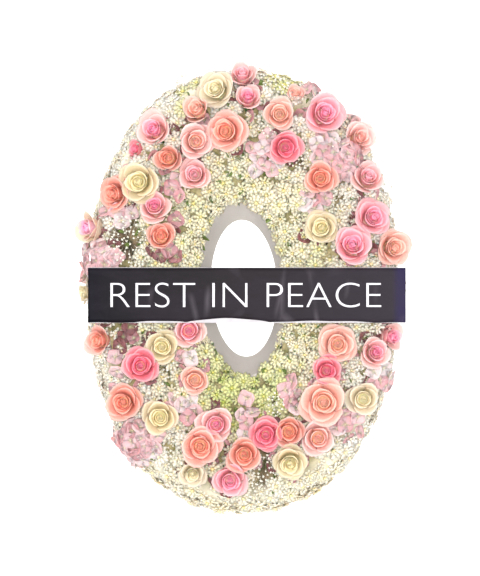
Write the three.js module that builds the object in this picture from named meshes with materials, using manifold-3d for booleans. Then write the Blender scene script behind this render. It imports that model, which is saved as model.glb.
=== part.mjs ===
// A memorial wreath to hang: an oval ring of white foam with a tapering hole, filled with floral foam, bedded all over
// with chrysanthemums, set with roses and hydrangeas, and crossed by a banner on two picks. Millimetres, +Z up, the
// flowers face -Y. The origin is where a hook carries the hanging loop.
import * as THREE from "three";
import { mergeVertices } from "three/addons/utils/BufferGeometryUtils.js";
import Module from "manifold-3d";

const wasm = await Module();
wasm.setup();

// ---- driving dimensions ----
// The ring is laid out on three ovals: half width a, half height b, squareness n (2 is an ellipse) and centre [x, z].
const backHole = { a: 65, b: 133, n: 2, centre: [2, 5] }; // where the hole leaves the back
const frontRim = { a: 84, b: 170, n: 2, centre: [-3, 5] }; // where the hole meets the flowers
const outline = { a: 301, b: 427, n: 2.2, centre: [0, 0] }; // the outer edge of the bed of flowers
const holeLean = THREE.MathUtils.degToRad(2.5); // the hand-cut hole leans a little to the left
const ringSteps = 48;

const clearance = 0.5; // left round whatever is pushed through or set against another piece
const panelThickness = 5;
const foamBack = panelThickness + 0.3;
const foamFront = 95;
const troughFloor = 40;
const floralFoamTop = 105;
const bedTop = 121; // the face of the bed over the middle of the ring
const headRelief = 4; // flower heads stand this far above or below the even face of the bed

const banner = { width: 600, height: 105, thickness: 5, x: 7, z: -8, back: 146 };
const sheet = { height: 101, thickness: 0.8, above: 1 }; // its middle lies a little above the board's
const pick = { radius: 2, length: 95, spacing: 400 };
const loop = { wireRadius: 1.6, halfWidth: 12, rise: 26, standOff: 11, exitHeight: 318, legDepth: 34 };
const stem = { radius: 2.4, length: 60 };

// ---- colours ----
const paint = (color, roughness, metalness = 0) => new THREE.MeshStandardMaterial({ color, roughness, metalness });
const materials = {
  foam: paint(0xf1efec, 0.85),
  panel: paint(0xeeeeec, 0.6),
  wire: paint(0x9a9b9d, 0.35, 1),
  floralFoam: paint(0x4c6b3a, 0.95),
  board: paint(0xe9e7e6, 0.6),
  sheet: paint(0x2c2a30, 0.35),
  pick: paint(0xc9a874, 0.7),
  chrysanthemum: paint(0xebe6cf, 0.75),
  hydrangea: paint(0xe6cdd6, 0.7),
  pink: paint(0xee86a2, 0.6),
  peach: paint(0xf6b195, 0.6),
  cream: paint(0xefe4bd, 0.6),
};

// ---- solids ----
function solidOf(geometry) {
  const bare = geometry.index ? geometry.toNonIndexed() : geometry.clone();
  bare.deleteAttribute("normal");
  bare.deleteAttribute("uv");
  const merged = mergeVertices(bare, 1e-3);
  return new wasm.Manifold(
    new wasm.Mesh({
      numProp: 3,
      vertProperties: merged.attributes.position.array,
      triVerts: new Uint32Array(merged.index.array),
    }),
  );
}

function geometryOf(solid) {
  const mesh = solid.getMesh();
  return new THREE.BufferGeometry()
    .setAttribute("position", new THREE.BufferAttribute(mesh.vertProperties, 3))
    .setIndex(new THREE.BufferAttribute(mesh.triVerts, 1));
}

// A cut can leave slivers, so a piece keeps only its largest body, without edges shorter than the tolerance.
function cleaned(solid) {
  const tolerance = 0.2;
  return solid.decompose().reduce((a, b) => (a.volume() > b.volume() ? a : b)).simplify(tolerance);
}

// ---- the oval ring ----
// A station across the ring is -1 at the back hole, 0 at the front rim of the hole and 1 at the outline.
function ovalAt(station) {
  const [from, to, share] = station < 0 ? [backHole, frontRim, station + 1] : [frontRim, outline, station];
  return {
    a: THREE.MathUtils.lerp(from.a, to.a, share),
    b: THREE.MathUtils.lerp(from.b, to.b, share),
    n: THREE.MathUtils.lerp(from.n, to.n, share),
    centre: [0, 1].map((i) => THREE.MathUtils.lerp(from.centre[i], to.centre[i], share)),
    lean: holeLean * THREE.MathUtils.clamp(1 - station, 0, 1),
  };
}

function ovalPoint(station, angle) {
  const { a, b, n, centre, lean } = ovalAt(station);
  const x = a * Math.sign(Math.cos(angle)) * Math.abs(Math.cos(angle)) ** (2 / n);
  const z = b * Math.sign(Math.sin(angle)) * Math.abs(Math.sin(angle)) ** (2 / n);
  return [centre[0] + x * Math.cos(lean) - z * Math.sin(lean), centre[1] + x * Math.sin(lean) + z * Math.cos(lean)];
}

// The station of the oval that passes through a point of the face.
function stationOf(x, z) {
  let [low, high] = [-1, 1.3];
  for (let i = 0; i < 30; i++) {
    const middle = (low + high) / 2;
    const { a, b, n, centre } = ovalAt(middle);
    if (Math.abs((x - centre[0]) / a) ** n + Math.abs((z - centre[1]) / b) ** n > 1) low = middle;
    else high = middle;
  }
  return low;
}

// A round ring is turned from a closed profile of [station, height above the back] that runs up the side of the hole,
// over the front and down the outer side, then each of its points is moved to its place on the oval.
// relief(row, step) lifts a point off the profile.
function ovalRing(profile, relief = () => 0) {
  const offset = 2; // keeps the turned ring clear of its axis
  const width = outline.a - frontRim.a; // millimetres per station
  const points = [...profile, profile[0]].map(([station, height]) => new THREE.Vector2(station + offset, height));
  const turned = new THREE.LatheGeometry(points, ringSteps);
  const place = turned.attributes.position;
  for (let i = 0; i < place.count; i++) {
    const row = (i % points.length) % profile.length;
    const step = Math.floor(i / points.length) % ringSteps;
    const before = profile.at(row - 1);
    const after = profile[(row + 1) % profile.length];
    const along = new THREE.Vector2((after[0] - before[0]) * width, after[1] - before[1]).normalize();
    const lift = relief(row, step);
    const station = profile[row][0] - (along.y * lift) / width;
    const height = profile[row][1] + along.x * lift;
    const [x, z] = ovalPoint(station, -(step / ringSteps) * 2 * Math.PI);
    place.setXYZ(i, x, -height, z);
  }
  return solidOf(turned);
}

const foamRing = ovalRing([
  [-1, foamBack],
  [-0.03, foamFront - 2],
  [0.01, foamFront],
  [0.085, foamFront],
  [0.09, troughFloor],
  [0.79, troughFloor],
  [0.795, foamFront],
  [0.87, foamFront],
  [0.895, foamFront - 8],
  [0.895, foamBack],
]);

// The panel stops a few millimetres short of the hole's edge and of the foam's outer edge.
const backPanel = ovalRing([
  [-0.75, 0],
  [-0.75, panelThickness],
  [0.86, panelThickness],
  [0.86, 0],
]);

const floralFoamRing = ovalRing([
  [0.096, troughFloor + 0.4],
  [0.096, floralFoamTop],
  [0.784, floralFoamTop],
  [0.784, troughFloor + 0.4],
]);

// The bed of chrysanthemums folds over the hole's rim, lies on the floral foam and runs down the outer wall.
const bedFace = [
  [0.01, 97],
  [-0.03, 104],
  [0.01, 115],
  [0.1, bedTop + 1],
  [0.22, bedTop + 3],
  [0.36, bedTop],
  [0.5, bedTop],
  [0.66, bedTop],
  [0.8, bedTop - 6],
  [0.92, 96],
  [0.99, 72],
  [1.0, 44],
  [0.97, 18],
  [0.93, 9],
];
const bedUnderside = [
  [0.902, 9],
  [0.902, foamFront - 6],
  [0.874, foamFront + 0.6],
  [0.79, foamFront + 0.6],
  [0.79, floralFoamTop + 0.8],
  [0.09, floralFoamTop + 0.8],
  [0.09, foamFront + 0.6],
];
const bedRing = ovalRing([...bedFace, ...bedUnderside], (row, step) => {
  const onFace = row > 0 && row < bedFace.length - 2;
  return onFace ? headRelief * ((row + step) % 2 ? 1 : -1) : 0;
});

// The half of a ring on one side of its upright middle line, kept clear of the other half.
function halfRing(ring, side) {
  const reach = 1000;
  const cutter = new THREE.BoxGeometry(reach, reach, reach).translate(side * (reach / 2 + clearance), 0, 0);
  return ring.intersect(solidOf(cutter));
}

// ---- blooms ----
// How far above the back the base of a bloom sits, by station.
const baseHeights = [
  [0, 108],
  [0.12, 118],
  [0.7, 118],
  [0.8, 112],
  [0.92, 92],
  [1.1, 56],
];

function baseHeight(station) {
  const next = Math.max(1, baseHeights.findIndex(([s]) => s > station));
  const [[s0, h0], [s1, h1]] = [baseHeights[next - 1], baseHeights[next]];
  return THREE.MathUtils.lerp(h0, h1, THREE.MathUtils.clamp((station - s0) / (s1 - s0), 0, 1));
}

// A bloom stands on its stem along its own axis, which leans to the right and up by the given degrees.
function standBloom(geometry, { x, z, right = 0, up = 0, lift = 0 }, headHeight) {
  const axis = new THREE.Vector3(
    Math.tan(THREE.MathUtils.degToRad(right)),
    -1,
    Math.tan(THREE.MathUtils.degToRad(up)),
  ).normalize();
  const turn = new THREE.Quaternion().setFromUnitVectors(new THREE.Vector3(0, 1, 0), axis);
  const middle = axis.clone().multiplyScalar(headHeight / 2);
  const base = new THREE.Vector3(x - middle.x, -(baseHeight(stationOf(x, z)) + lift), z - middle.z);
  return geometry.applyQuaternion(turn).translate(base.x, base.y, base.z);
}

const headHeightOf = (radius) => 22 + 0.75 * radius;
const calyx = { radius: 0.62, height: 0.15 }; // shares of the head's

// A bloom is turned from a profile whose first three points are its stem. The stem is five-sided: each second side
// there is closed up.
const petals = 5;
const stemRows = 3;
function turnBloom(profile) {
  const turned = new THREE.LatheGeometry(profile.map(([r, y]) => new THREE.Vector2(r, y)), 2 * petals);
  const place = turned.attributes.position;
  for (let i = 0; i < place.count; i++) {
    const side = Math.floor(i / profile.length);
    if (i % profile.length >= stemRows || side % 2 === 0) continue;
    const before = i - profile.length;
    place.setXYZ(i, place.getX(before), place.getY(before), place.getZ(before));
  }
  return turned;
}

// A rose: a cut stem, a calyx, and a head whose outer petals stand round a dip and an inner bud.
function roseSolid(rose) {
  const height = headHeightOf(rose.radius);
  const profile = [
    [0, -stem.length],
    [stem.radius, -stem.length],
    [stem.radius, 0],
    [calyx.radius * rose.radius, calyx.height * height],
    [0.95 * rose.radius, 0.5 * height],
    [rose.radius, 0.82 * height],
    [0.8 * rose.radius, height],
    [0.52 * rose.radius, 0.86 * height],
    [0.36 * rose.radius, 1.03 * height],
    [0, 0.95 * height],
  ];
  const firstPetalRow = 4;
  const lastPetalRow = 7;
  const head = turnBloom(profile);
  const place = head.attributes.position;
  for (let i = 0; i < place.count; i++) {
    const row = i % profile.length;
    const between = Math.floor(i / profile.length) % 2 === 1;
    const isPetal = row >= firstPetalRow && row <= lastPetalRow;
    const notch = between && isPetal ? 0.93 : 1;
    place.setXYZ(i, place.getX(i) * notch, place.getY(i), place.getZ(i) * notch);
  }
  return solidOf(standBloom(head, rose, height));
}

// A hydrangea: a stem under a dome of florets.
const hydrangeaHeightOf = (radius) => 0.8 * radius;
function hydrangeaSolid(bloom) {
  const height = hydrangeaHeightOf(bloom.radius);
  const profile = [
    [0, -stem.length],
    [stem.radius, -stem.length],
    [stem.radius, 0],
    [calyx.radius * bloom.radius, calyx.height * height],
    [bloom.radius, 0.5 * height],
    [0.75 * bloom.radius, 0.85 * height],
    [0, height],
  ];
  return solidOf(standBloom(turnBloom(profile), bloom, height));
}

// The room a bloom needs: a hole for its stem that flares into a plain cup round its head.
function bloomRoom(bloom, height) {
  const holeRadius = stem.radius + clearance / Math.cos(Math.PI / petals);
  const flareStart = -12; // just above the floral foam
  const profile = [
    [0, -stem.length - clearance],
    [holeRadius, -stem.length - clearance],
    [holeRadius, flareStart],
    [calyx.radius * bloom.radius + clearance, calyx.height * height - clearance],
    [bloom.radius + clearance, 0.45 * height],
    [bloom.radius + clearance, 0.85 * height],
    [0.8 * bloom.radius + clearance, height + clearance],
    [0, 1.05 * height + clearance],
  ];
  return solidOf(standBloom(turnBloom(profile), bloom, height));
}

const roses = {
  pink: [
    { x: -2, z: 408, radius: 24, up: 30 },
    { x: 9, z: 363, radius: 24, up: 25 },
    { x: -166, z: 303, radius: 32, right: -20, up: 15 },
    { x: -91, z: 219, radius: 29, right: -5, up: 5 },
    { x: -168, z: 158, radius: 30, up: 15 },
    { x: -288, z: 120, radius: 30, right: -50, up: 5 },
    { x: 152, z: 335, radius: 38, right: 12, up: 10 },
    { x: 79, z: 272, radius: 31, right: 5, up: -5 },
    { x: 236, z: 213, radius: 30, right: 10, up: 20 },
    { x: 244, z: 138, radius: 34, right: 15, up: 10 },
    { x: 206, z: 84, radius: 36, up: 15, lift: 8 },
    { x: -103, z: -75, radius: 29, lift: -8 },
    { x: -194, z: -142, radius: 33, up: 5 },
    { x: -51, z: -252, radius: 32 },
    { x: 43, z: -272, radius: 31 },
    { x: -25, z: -358, radius: 31, up: -5 },
    { x: 248, z: -118, radius: 28, right: 15, up: 10 },
    { x: 278, z: -88, radius: 25, right: 40, lift: -12 },
    { x: 158, z: -151, radius: 28 },
  ],
  peach: [
    { x: -86, z: 341, radius: 25, right: -20, up: 20 },
    { x: -32, z: 301, radius: 38, right: -10, lift: 4 },
    { x: -90, z: 283, radius: 33, right: 5 },
    { x: -141, z: 251, radius: 24, right: -10 },
    { x: -240, z: 184, radius: 33, right: -30 },
    { x: -155, z: 102, radius: 25, up: 10, lift: -6 },
    { x: 69, z: 334, radius: 29 },
    { x: 220, z: 290, radius: 31, right: 20, up: 10 },
    { x: 146, z: 213, radius: 30 },
    { x: 284, z: 82, radius: 34, right: 20 },
    { x: -272, z: -95, radius: 26, right: -30, lift: -8 },
    { x: -91, z: -168, radius: 25 },
    { x: -226, z: -211, radius: 34, right: -10 },
    { x: -81, z: -293, radius: 37, lift: 5 },
    { x: 2, z: -309, radius: 31, lift: 3 },
    { x: 179, z: -101, radius: 36, lift: -6 },
    { x: 152, z: -210, radius: 43 },
    { x: 86, z: -266, radius: 27 },
    { x: 142, z: -278, radius: 30 },
  ],
  cream: [
    { x: -50, z: 381, radius: 35, right: -15, up: 10 },
    { x: -196, z: 206, radius: 37, right: -10 },
    { x: 149, z: 119, radius: 31, right: -5, up: 5 },
    { x: -153, z: -106, radius: 31, lift: -6 },
    { x: -157, z: -239, radius: 32 },
    { x: -96, z: -345, radius: 25, up: -10 },
    { x: 228, z: -204, radius: 30 },
    { x: 89, z: -324, radius: 32, up: -10 },
  ],
};

const hydrangeas = [
  { x: 194, z: 250, radius: 28, right: 5 },
  { x: -272, z: 54, radius: 31, right: -30 },
  { x: -202, z: -284, radius: 33, right: -15, up: -15 },
];

// ---- fittings ----
function box(width, depth, height, x, y, z) {
  return solidOf(new THREE.BoxGeometry(width, depth, height).translate(x, y, z));
}

const bannerBoard = box(
  banner.width, banner.thickness, banner.height,
  banner.x, -(banner.back + banner.thickness / 2), banner.z,
);
const sheetBack = banner.back + banner.thickness + 0.3;
const bannerSheet = box(
  banner.width, sheet.thickness, sheet.height,
  banner.x, -(sheetBack + sheet.thickness / 2), banner.z + sheet.above,
);
const bannerRoom = box(
  banner.width + 2 * clearance, banner.thickness + 3, banner.height + 2 * clearance,
  banner.x, -(banner.back + banner.thickness / 2 + 0.6), banner.z,
);

// A bamboo pick stands on the back of the board and ends in a point inside the floral foam.
function pickSolid(side, grow = 0) {
  const radius = pick.radius + grow;
  const end = banner.back - 0.3;
  const profile = [
    [0, 0],
    [radius, 0],
    [radius, pick.length - 10],
    [0, pick.length + grow],
  ].map(([r, y]) => new THREE.Vector2(r, y));
  const turned = new THREE.LatheGeometry(profile, 8);
  return solidOf(turned.translate(banner.x + (side * pick.spacing) / 2, -end, banner.z));
}

// A wire hairpin: two legs run into the foam and a bow stands off the back, to hang over a hook.
function loopSolid(grow = 0) {
  const { halfWidth, rise, standOff, exitHeight, legDepth } = loop;
  const side = (sign) => [
    new THREE.Vector3(sign * halfWidth, -legDepth, exitHeight - 12),
    new THREE.Vector3(sign * halfWidth, -20, exitHeight - 5),
    new THREE.Vector3(sign * halfWidth, 0.5, exitHeight),
    new THREE.Vector3(sign * halfWidth, 0.5 * standOff, exitHeight + 0.3 * rise),
    new THREE.Vector3(sign * 0.92 * halfWidth, 0.85 * standOff, exitHeight + 0.72 * rise),
  ];
  const path = new THREE.CatmullRomCurve3([
    ...side(-1),
    new THREE.Vector3(0, standOff, exitHeight + rise),
    ...side(1).reverse(),
  ]);
  const round = new THREE.Shape().absarc(0, 0, loop.wireRadius + grow, 0, 2 * Math.PI);
  const wire = new THREE.ExtrudeGeometry(round, {
    steps: 24, curveSegments: 3, bevelEnabled: false, extrudePath: path,
  });
  return solidOf(wire);
}

// ---- assembly ----
// The hook touches the underside of the bow, and that point is the origin.
const wreath = new THREE.Group();
const hookHeight = loop.exitHeight + loop.rise - loop.wireRadius;
wreath.position.set(0, -loop.standOff, -hookHeight);

function add(name, solid, material) {
  const mesh = new THREE.Mesh(geometryOf(solid), material);
  mesh.name = name;
  wreath.add(mesh);
}

const blooms = [];
for (const [colour, list] of Object.entries(roses)) {
  list.forEach((rose, i) => {
    const name = `rose_${colour}_${String(i + 1).padStart(2, "0")}`;
    const room = bloomRoom(rose, headHeightOf(rose.radius));
    blooms.push({ name, rank: rose.radius, solid: roseSolid(rose), room, material: materials[colour] });
  });
}
hydrangeas.forEach((bloom, i) => {
  const room = bloomRoom(bloom, hydrangeaHeightOf(bloom.radius));
  const name = `hydrangea_${i + 1}`;
  blooms.push({ name, rank: 0, solid: hydrangeaSolid(bloom), room, material: materials.hydrangea });
});

// The largest bloom keeps its whole shape, and each smaller one is pressed in by the larger ones beside it.
const picks = [-1, 1].map((side) => pickSolid(side, clearance));
let taken = wasm.Manifold.union([bannerRoom, ...picks]);
for (const bloom of [...blooms].sort((a, b) => b.rank - a.rank)) {
  bloom.solid = cleaned(bloom.solid.subtract(taken));
  taken = taken.add(bloom.room);
}

const pierced = wasm.Manifold.union([taken, loopSolid(clearance)]);
add("foam_body", cleaned(foamRing.subtract(pierced)), materials.foam);
add("back_panel", cleaned(backPanel.subtract(pierced)), materials.panel);
add("hanging_loop", loopSolid(), materials.wire);
const sides = { left: -1, right: 1 };
for (const [side, sign] of Object.entries(sides)) {
  const foam = halfRing(floralFoamRing.subtract(pierced), sign);
  const bed = halfRing(bedRing.subtract(pierced), sign);
  add(`floral_foam_${side}`, cleaned(foam), materials.floralFoam);
  add(`chrysanthemum_bed_${side}`, cleaned(bed), materials.chrysanthemum);
  add(`banner_pick_${side}`, pickSolid(sign), materials.pick);
}
for (const { name, solid, material } of blooms) add(name, solid, material);
add("banner_board", bannerBoard, materials.board);
add("banner_sheet", bannerSheet, materials.sheet);

export default wreath;
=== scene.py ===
import math
import random
from itertools import product

import bmesh
import bpy
from mathutils import Matrix, Vector, noise
from mathutils.bvhtree import BVHTree
from mathutils.kdtree import KDTree


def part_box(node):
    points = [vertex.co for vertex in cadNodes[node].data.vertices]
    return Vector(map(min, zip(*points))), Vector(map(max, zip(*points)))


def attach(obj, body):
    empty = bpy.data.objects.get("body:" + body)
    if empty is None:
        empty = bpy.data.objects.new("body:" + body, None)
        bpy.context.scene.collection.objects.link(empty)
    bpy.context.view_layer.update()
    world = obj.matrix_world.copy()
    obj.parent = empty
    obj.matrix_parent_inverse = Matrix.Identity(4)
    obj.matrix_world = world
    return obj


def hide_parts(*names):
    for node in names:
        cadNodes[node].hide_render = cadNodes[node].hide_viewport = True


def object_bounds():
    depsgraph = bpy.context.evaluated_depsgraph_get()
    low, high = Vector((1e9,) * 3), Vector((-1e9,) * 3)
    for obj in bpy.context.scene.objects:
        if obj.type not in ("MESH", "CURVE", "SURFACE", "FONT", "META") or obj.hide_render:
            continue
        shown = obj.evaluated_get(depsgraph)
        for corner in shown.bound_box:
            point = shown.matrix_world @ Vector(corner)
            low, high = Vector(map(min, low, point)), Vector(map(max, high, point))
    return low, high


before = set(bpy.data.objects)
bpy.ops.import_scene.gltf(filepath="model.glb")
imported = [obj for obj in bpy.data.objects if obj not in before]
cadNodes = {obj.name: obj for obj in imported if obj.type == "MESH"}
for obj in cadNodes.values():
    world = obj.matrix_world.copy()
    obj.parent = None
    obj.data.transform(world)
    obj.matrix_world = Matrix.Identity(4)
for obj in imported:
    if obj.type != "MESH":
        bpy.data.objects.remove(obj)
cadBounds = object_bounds()
low, high = cadBounds
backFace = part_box("back_panel")[1].y        # the wreath hangs flat against the wall here
roseNodes = sorted(name for name in cadNodes if name.startswith("rose_"))
hydrangeaNodes = sorted(name for name in cadNodes if name.startswith("hydrangea_"))
bedNodes = sorted(name for name in cadNodes if name.startswith("chrysanthemum_bed_"))
centre = (low + high) / 2
ringHalf = {"x": 0.301, "z": 0.427}         # the ring's outline from its middle


# small helpers

def mix(a, b, share):
    return a + (b - a) * share


def clamp(value):
    return min(1.0, max(0.0, value))


def colour(*screen):      # red, green and blue as screen values 0 to 255, to a linear colour
    parts = [part / 255 for part in screen]
    return (*[p / 12.92 if p <= 0.04045 else ((p + 0.055) / 1.055) ** 2.4 for p in parts], 1)


def frameOn(point, axis, spin=0.0, scale=(1, 1, 1)):      # stands a shape's +Z along an axis at a point
    turn = axis.to_track_quat("Z", "Y").to_matrix().to_4x4()
    return Matrix.Translation(point) @ turn @ Matrix.Rotation(spin, 4, "Z") @ Matrix.Diagonal((*scale, 1))


def standing(rng, point, axis, size):      # the same, turned at random about the axis
    return frameOn(point, axis, rng.uniform(0, 6.3), (size,) * 3)


def turned(out, side, up, turn):      # a point of a petal that lies out from the middle
    return Vector((out * math.cos(turn) - side * math.sin(turn),
                   out * math.sin(turn) + side * math.cos(turn), up))


def meshFrom(bm, name):
    mesh = bpy.data.meshes.new(name)
    bm.to_mesh(mesh)
    bm.free()
    for face in mesh.polygons:
        face.use_smooth = True
    return mesh


def tilted(rng, direction, limit):      # a direction, turned at random by up to about the limit
    return (direction + Vector([rng.uniform(-limit, limit) for _ in range(3)])).normalized()


def newObject(name, data):
    made = bpy.data.objects.new(name, data)
    bpy.context.scene.collection.objects.link(made)
    return made


def addPiece(name, mesh, materials, slot, *replaced):
    piece = newObject(name, mesh)
    mesh.materials.clear()
    for material in materials:
        mesh.materials.append(material)
    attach(piece, "root")
    if replaced:
        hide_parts(*replaced)
    return piece


def gather(name, copies):      # joins transformed copies of small meshes into one
    bm = bmesh.new()
    for template, place in copies:
        copy = template.copy()
        copy.transform(place)
        bm.from_mesh(copy)
        bpy.data.meshes.remove(copy)
    return meshFrom(bm, name)


def cadCopy(name, crease=35):      # a merged copy of a CAD node's mesh, smooth except at its sharp edges
    bm = bmesh.new()
    bm.from_mesh(cadNodes[name].data)
    bmesh.ops.remove_doubles(bm, verts=bm.verts, dist=1e-5)
    for edge in bm.edges:
        edge.smooth = len(edge.link_faces) == 2 and edge.calc_face_angle(0) < math.radians(crease)
    return bm


# materials

class Value:      # an output socket, on which plain arithmetic adds Math nodes
    def __init__(self, paint, socket):
        self.paint = paint
        self.socket = socket

    def maths(self, operation, *values, clamped=False):
        settings = {"operation": operation, "use_clamp": clamped}
        return self.paint.node("ShaderNodeMath", settings, dict(enumerate(values)))

    def __add__(self, other):
        return self.maths("ADD", self, other)

    def __sub__(self, other):
        return self.maths("SUBTRACT", self, other)

    def __rsub__(self, other):
        return self.maths("SUBTRACT", other, self)

    def __mul__(self, other):
        return self.maths("MULTIPLY", self, other)

    def __truediv__(self, other):
        return self.maths("DIVIDE", self, other)

    def __rtruediv__(self, other):
        return self.maths("DIVIDE", other, self)

    __radd__ = __add__
    __rmul__ = __mul__

    def between(self, start, end):      # 0 at start, 1 at end
        return self.maths("MULTIPLY", self - start, 1 / (end - start), clamped=True)


class Paint:      # builds one material
    def __init__(self, name, **constants):
        self.material = bpy.data.materials.new(name)
        self.material.use_nodes = True
        self.tree = self.material.node_tree
        self.shader = self.tree.nodes["Principled BSDF"]
        for socket, value in constants.items():
            self.shader.inputs[socket.replace("_", " ")].default_value = value

    def node(self, kind, settings=None, sockets=None, output=0):
        made = self.tree.nodes.new(kind)
        for key, value in (settings or {}).items():
            if key == "stops":
                self.setStops(made.color_ramp, value)
            else:
                setattr(made, key, value)
        for key, value in (sockets or {}).items():
            if isinstance(value, Value):
                self.tree.links.new(value.socket, made.inputs[key])
            else:
                made.inputs[key].default_value = value
        return Value(self, made.outputs[output])

    def setStops(self, ramp, stops):
        while len(ramp.elements) < len(stops):
            ramp.elements.new(1)
        for element, (position, stopColour) in zip(ramp.elements, stops):
            element.position = position
            element.color = stopColour

    def place(self, scale=(1, 1, 1)):      # object coordinates, stretched
        point = self.node("ShaderNodeTexCoord", output="Object")
        return self.node("ShaderNodeMapping", {}, {"Vector": point, "Scale": scale})

    def coordinate(self, axis):      # one object coordinate, in metres
        point = self.node("ShaderNodeTexCoord", output="Object")
        return self.node("ShaderNodeSeparateXYZ", {}, {0: point}, axis)

    def noise(self, scale, detail, stretch=(1, 1, 1)):
        sockets = {"Vector": self.place(stretch), "Scale": scale, "Detail": detail}
        return self.node("ShaderNodeTexNoise", {}, sockets)

    def petalSurface(self):      # the petals' own UV map, as across and along
        point = self.node("ShaderNodeUVMap", {"uv_map": "petal"})
        return [self.node("ShaderNodeSeparateXYZ", {}, {0: point}, output) for output in (0, 1)]

    def veins(self, across, along, settings, scale, distortion):      # waves that run along the petal
        point = self.node("ShaderNodeCombineXYZ", {}, {0: across, 1: along})
        sockets = {"Scale": scale, "Distortion": distortion, "Vector": point}
        return self.node("ShaderNodeTexWave", settings, sockets, 1)

    def attribute(self, name):
        return self.node("ShaderNodeAttribute", {"attribute_name": name}, {}, "Fac")

    def ramp(self, value, stops):
        return self.node("ShaderNodeValToRGB", {"stops": stops}, {0: value})

    def blend(self, share, first, second):
        return self.node("ShaderNodeMix", {"data_type": "RGBA"}, {0: share, 6: first, 7: second}, 2)

    def feed(self, socket, value):
        self.tree.links.new(value.socket, self.shader.inputs[socket])

    def bump(self, height, distance, strength):
        sockets = {"Height": height, "Distance": distance, "Strength": strength}
        self.feed("Normal", self.node("ShaderNodeBump", {}, sockets))


petalFinish = {
    "Roughness": 0.55,
    "Subsurface_Weight": 0.6, "Subsurface_Scale": 0.006, "Subsurface_Radius": (1, 0.7, 0.6),
}
rosePetal = {      # the shares say how strongly each thing shows
    "grain": 90, "grainShare": 0.25,
    "shadeStops": (0.12, 0.5, 0.92),      # where heart, middle and outer petals have their own shade
    "foot": (226, 222, 160), "footShare": 0.5,      # petals pale to green-yellow at the foot
    "rim": (252, 236, 226), "rimShare": 0.25,       # the curled rims are a little paler
    "veinShare": 0.4, "relief": 0.0006,
}


def rosePaint(name, *shades):
    paint = Paint(name, **petalFinish)
    across, along = paint.petalSurface()
    depth = paint.attribute("depth")
    mottle = paint.noise(rosePetal["grain"], 2) - 0.5
    turning = depth + mottle * rosePetal["grainShare"] + (along - 0.6) * 0.12
    stops = [(stop, colour(*shade)) for stop, shade in zip(rosePetal["shadeStops"], shades)]
    foot = along.between(0.3, 0.05) * rosePetal["footShare"]
    body = paint.blend(foot, paint.ramp(turning, stops), colour(*rosePetal["foot"]))
    rim = along.between(0.9, 1.0) * depth.between(0.45, 0.9) * rosePetal["rimShare"]
    paint.feed("Base Color", paint.blend(rim, body, colour(*rosePetal["rim"])))
    veins = paint.veins(across, along * 0.12, {"wave_type": "BANDS"}, 9.0, 2.0)
    paint.bump(veins * rosePetal["veinShare"] + mottle, rosePetal["relief"], 0.5)
    return paint.material


roseColours = {      # heart, middle and outer petals, as screen values
    "pink": [(254, 152, 180), (250, 146, 170), (236, 146, 154)],
    "pinkDeep": [(254, 128, 156), (244, 108, 134), (232, 112, 126)],
    "pinkTwoTone": [(252, 128, 162), (248, 146, 168), (236, 170, 164)],
    "pinkSoft": [(254, 170, 182), (248, 164, 174), (236, 166, 162)],
    "pinkYellow": [(250, 150, 194), (240, 168, 188), (228, 196, 162)],
    "peach": [(254, 156, 130), (252, 156, 138), (236, 152, 140)],
    "peachDeep": [(252, 148, 128), (248, 146, 128), (226, 138, 124)],
    "peachPale": [(254, 178, 158), (250, 172, 154), (234, 162, 148)],
    "peachBlush": [(254, 160, 146), (250, 178, 168), (238, 174, 168)],
    "cream": [(250, 234, 186), (240, 222, 180), (208, 186, 156)],
    "creamYellow": [(250, 230, 176), (238, 218, 166), (206, 182, 144)],
}
rosePaints = {name: rosePaint("petal_" + name, *shades) for name, shades in roseColours.items()}


def plainPaint(name, first, second, scale, distance, roughness, stretch=(1, 1, 1)):
    paint = Paint(name, Roughness=roughness)
    grain = paint.noise(scale, 4, stretch)      # mottles the two shades
    paint.feed("Base Color", paint.blend(grain.between(0.3, 0.7), colour(*first), colour(*second)))
    paint.bump(grain, distance, 0.6)
    return paint.material


beadFoam = {"shade": (202, 196, 190), "gap": (180, 174, 166), "cells": 330.0, "relief": 0.0004}


def foamPaint():      # fused beads about 3 mm across
    paint = Paint("beadFoam", Roughness=0.7)
    cells = {"Vector": paint.place(), "Scale": beadFoam["cells"]}
    beads = paint.node("ShaderNodeTexVoronoi", {"feature": "DISTANCE_TO_EDGE"}, cells)
    seam = beads.between(0.12, 0.0)
    patches = paint.noise(14, 3).between(0.35, 0.7)
    gap = colour(*beadFoam["gap"])
    body = paint.blend(patches * 0.3, colour(*beadFoam["shade"]), gap)
    paint.feed("Base Color", paint.blend(seam * 0.35, body, gap))
    paint.bump(beads.between(0.0, 0.3), beadFoam["relief"], 0.5)
    return paint.material


def mumPaint():      # the UV map's across holds a head's tint, from white through cream to green; the petals are darker and warmer at their feet, partly their own colour and partly painted shade
    paint = Paint("mumPetal", **petalFinish)
    tint, along = paint.petalSurface()
    tips = [(0.0, colour(253, 241, 225)), (0.45, colour(248, 232, 196)), (1.0, colour(214, 214, 136))]
    # the feet's shades are darker: partly the petals' own colour, partly painted shade near the heart
    shadedFeet = [(0.0, colour(238, 222, 190)), (0.45, colour(230, 211, 150)), (1.0, colour(180, 186, 90))]
    body = paint.blend(along.between(0.0, 0.75), paint.ramp(tint, shadedFeet), paint.ramp(tint, tips))
    paint.feed("Base Color", body)
    paint.bump(paint.noise(400, 2), 0.0004, 0.4)
    return paint.material


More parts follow.
